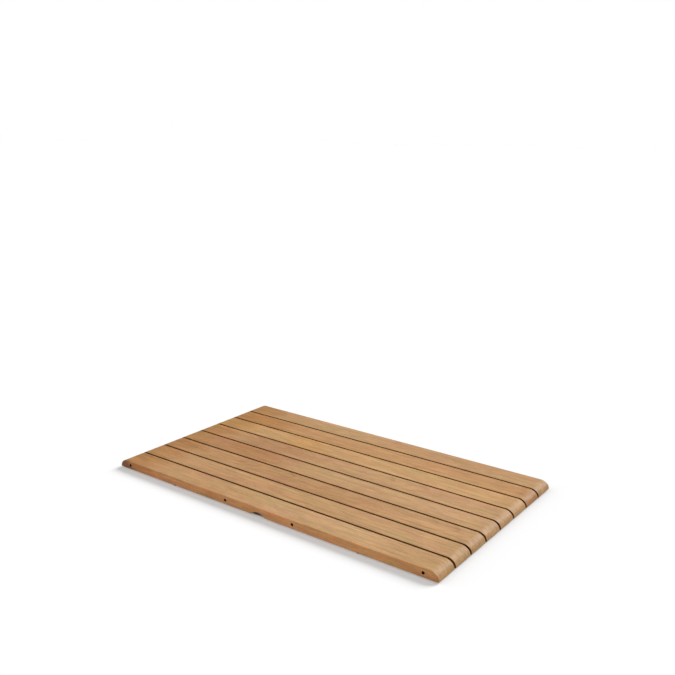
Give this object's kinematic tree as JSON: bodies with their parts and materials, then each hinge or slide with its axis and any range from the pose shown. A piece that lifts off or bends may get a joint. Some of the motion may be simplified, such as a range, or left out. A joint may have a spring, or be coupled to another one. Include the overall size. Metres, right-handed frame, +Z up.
{
  "type": "slatted bath mat",
  "caption": "Rigid slatted teak bath mat with rounded slat ends, narrow drainage gaps, steel cross rods and small rubber feet.",
  "frame": {"origin": "on the floor, under the middle of the mat", "axes": "+X along the slats, +Y across the slats from the front slat to the rear slat, +Z up"},
  "size_m": [0.866, 0.5, 0.0215],
  "materials": {
    "teak": "oiled teak, fine straight grain, satin, each slat in a slightly different tint",
    "stainless": "plain stainless steel",
    "spacer_rubber": "black moulded rubber ring",
    "foot_rubber": "black matte rubber"
  },
  "bodies": {
    "root": {"slat_1": "teak", "slat_2": "teak", "slat_3": "teak", "slat_4": "teak", "slat_5": "teak", "slat_6": "teak", "slat_7": "teak", "slat_8": "teak", "rod_1": "stainless", "rod_2": "stainless", "rod_3": "stainless", "rod_4": "stainless", "spacer_rod1_gap1": "spacer_rubber", "spacer_rod1_gap2": "spacer_rubber", "spacer_rod1_gap3": "spacer_rubber", "spacer_rod1_gap4": "spacer_rubber", "spacer_rod1_gap5": "spacer_rubber", "spacer_rod1_gap6": "spacer_rubber", "spacer_rod1_gap7": "spacer_rubber", "spacer_rod2_gap1": "spacer_rubber", "spacer_rod2_gap2": "spacer_rubber", "spacer_rod2_gap3": "spacer_rubber", "spacer_rod2_gap4": "spacer_rubber", "spacer_rod2_gap5": "spacer_rubber", "spacer_rod2_gap6": "spacer_rubber", "spacer_rod2_gap7": "spacer_rubber", "spacer_rod3_gap1": "spacer_rubber", "spacer_rod3_gap2": "spacer_rubber", "spacer_rod3_gap3": "spacer_rubber", "spacer_rod3_gap4": "spacer_rubber", "spacer_rod3_gap5": "spacer_rubber", "spacer_rod3_gap6": "spacer_rubber", "spacer_rod3_gap7": "spacer_rubber", "spacer_rod4_gap1": "spacer_rubber", "spacer_rod4_gap2": "spacer_rubber", "spacer_rod4_gap3": "spacer_rubber", "spacer_rod4_gap4": "spacer_rubber", "spacer_rod4_gap5": "spacer_rubber", "spacer_rod4_gap6": "spacer_rubber", "spacer_rod4_gap7": "spacer_rubber", "foot_slat1_left": "foot_rubber", "foot_screw_slat1_left": "stainless", "foot_slat1_right": "foot_rubber", "foot_screw_slat1_right": "stainless", "foot_slat3_left": "foot_rubber", "foot_screw_slat3_left": "stainless", "foot_slat3_right": "foot_rubber", "foot_screw_slat3_right": "stainless", "foot_slat6_left": "foot_rubber", "foot_screw_slat6_left": "stainless", "foot_slat6_right": "foot_rubber", "foot_screw_slat6_right": "stainless", "foot_slat8_left": "foot_rubber", "foot_screw_slat8_left": "stainless", "foot_slat8_right": "foot_rubber", "foot_screw_slat8_right": "stainless"}
  },
  "joints": []
}
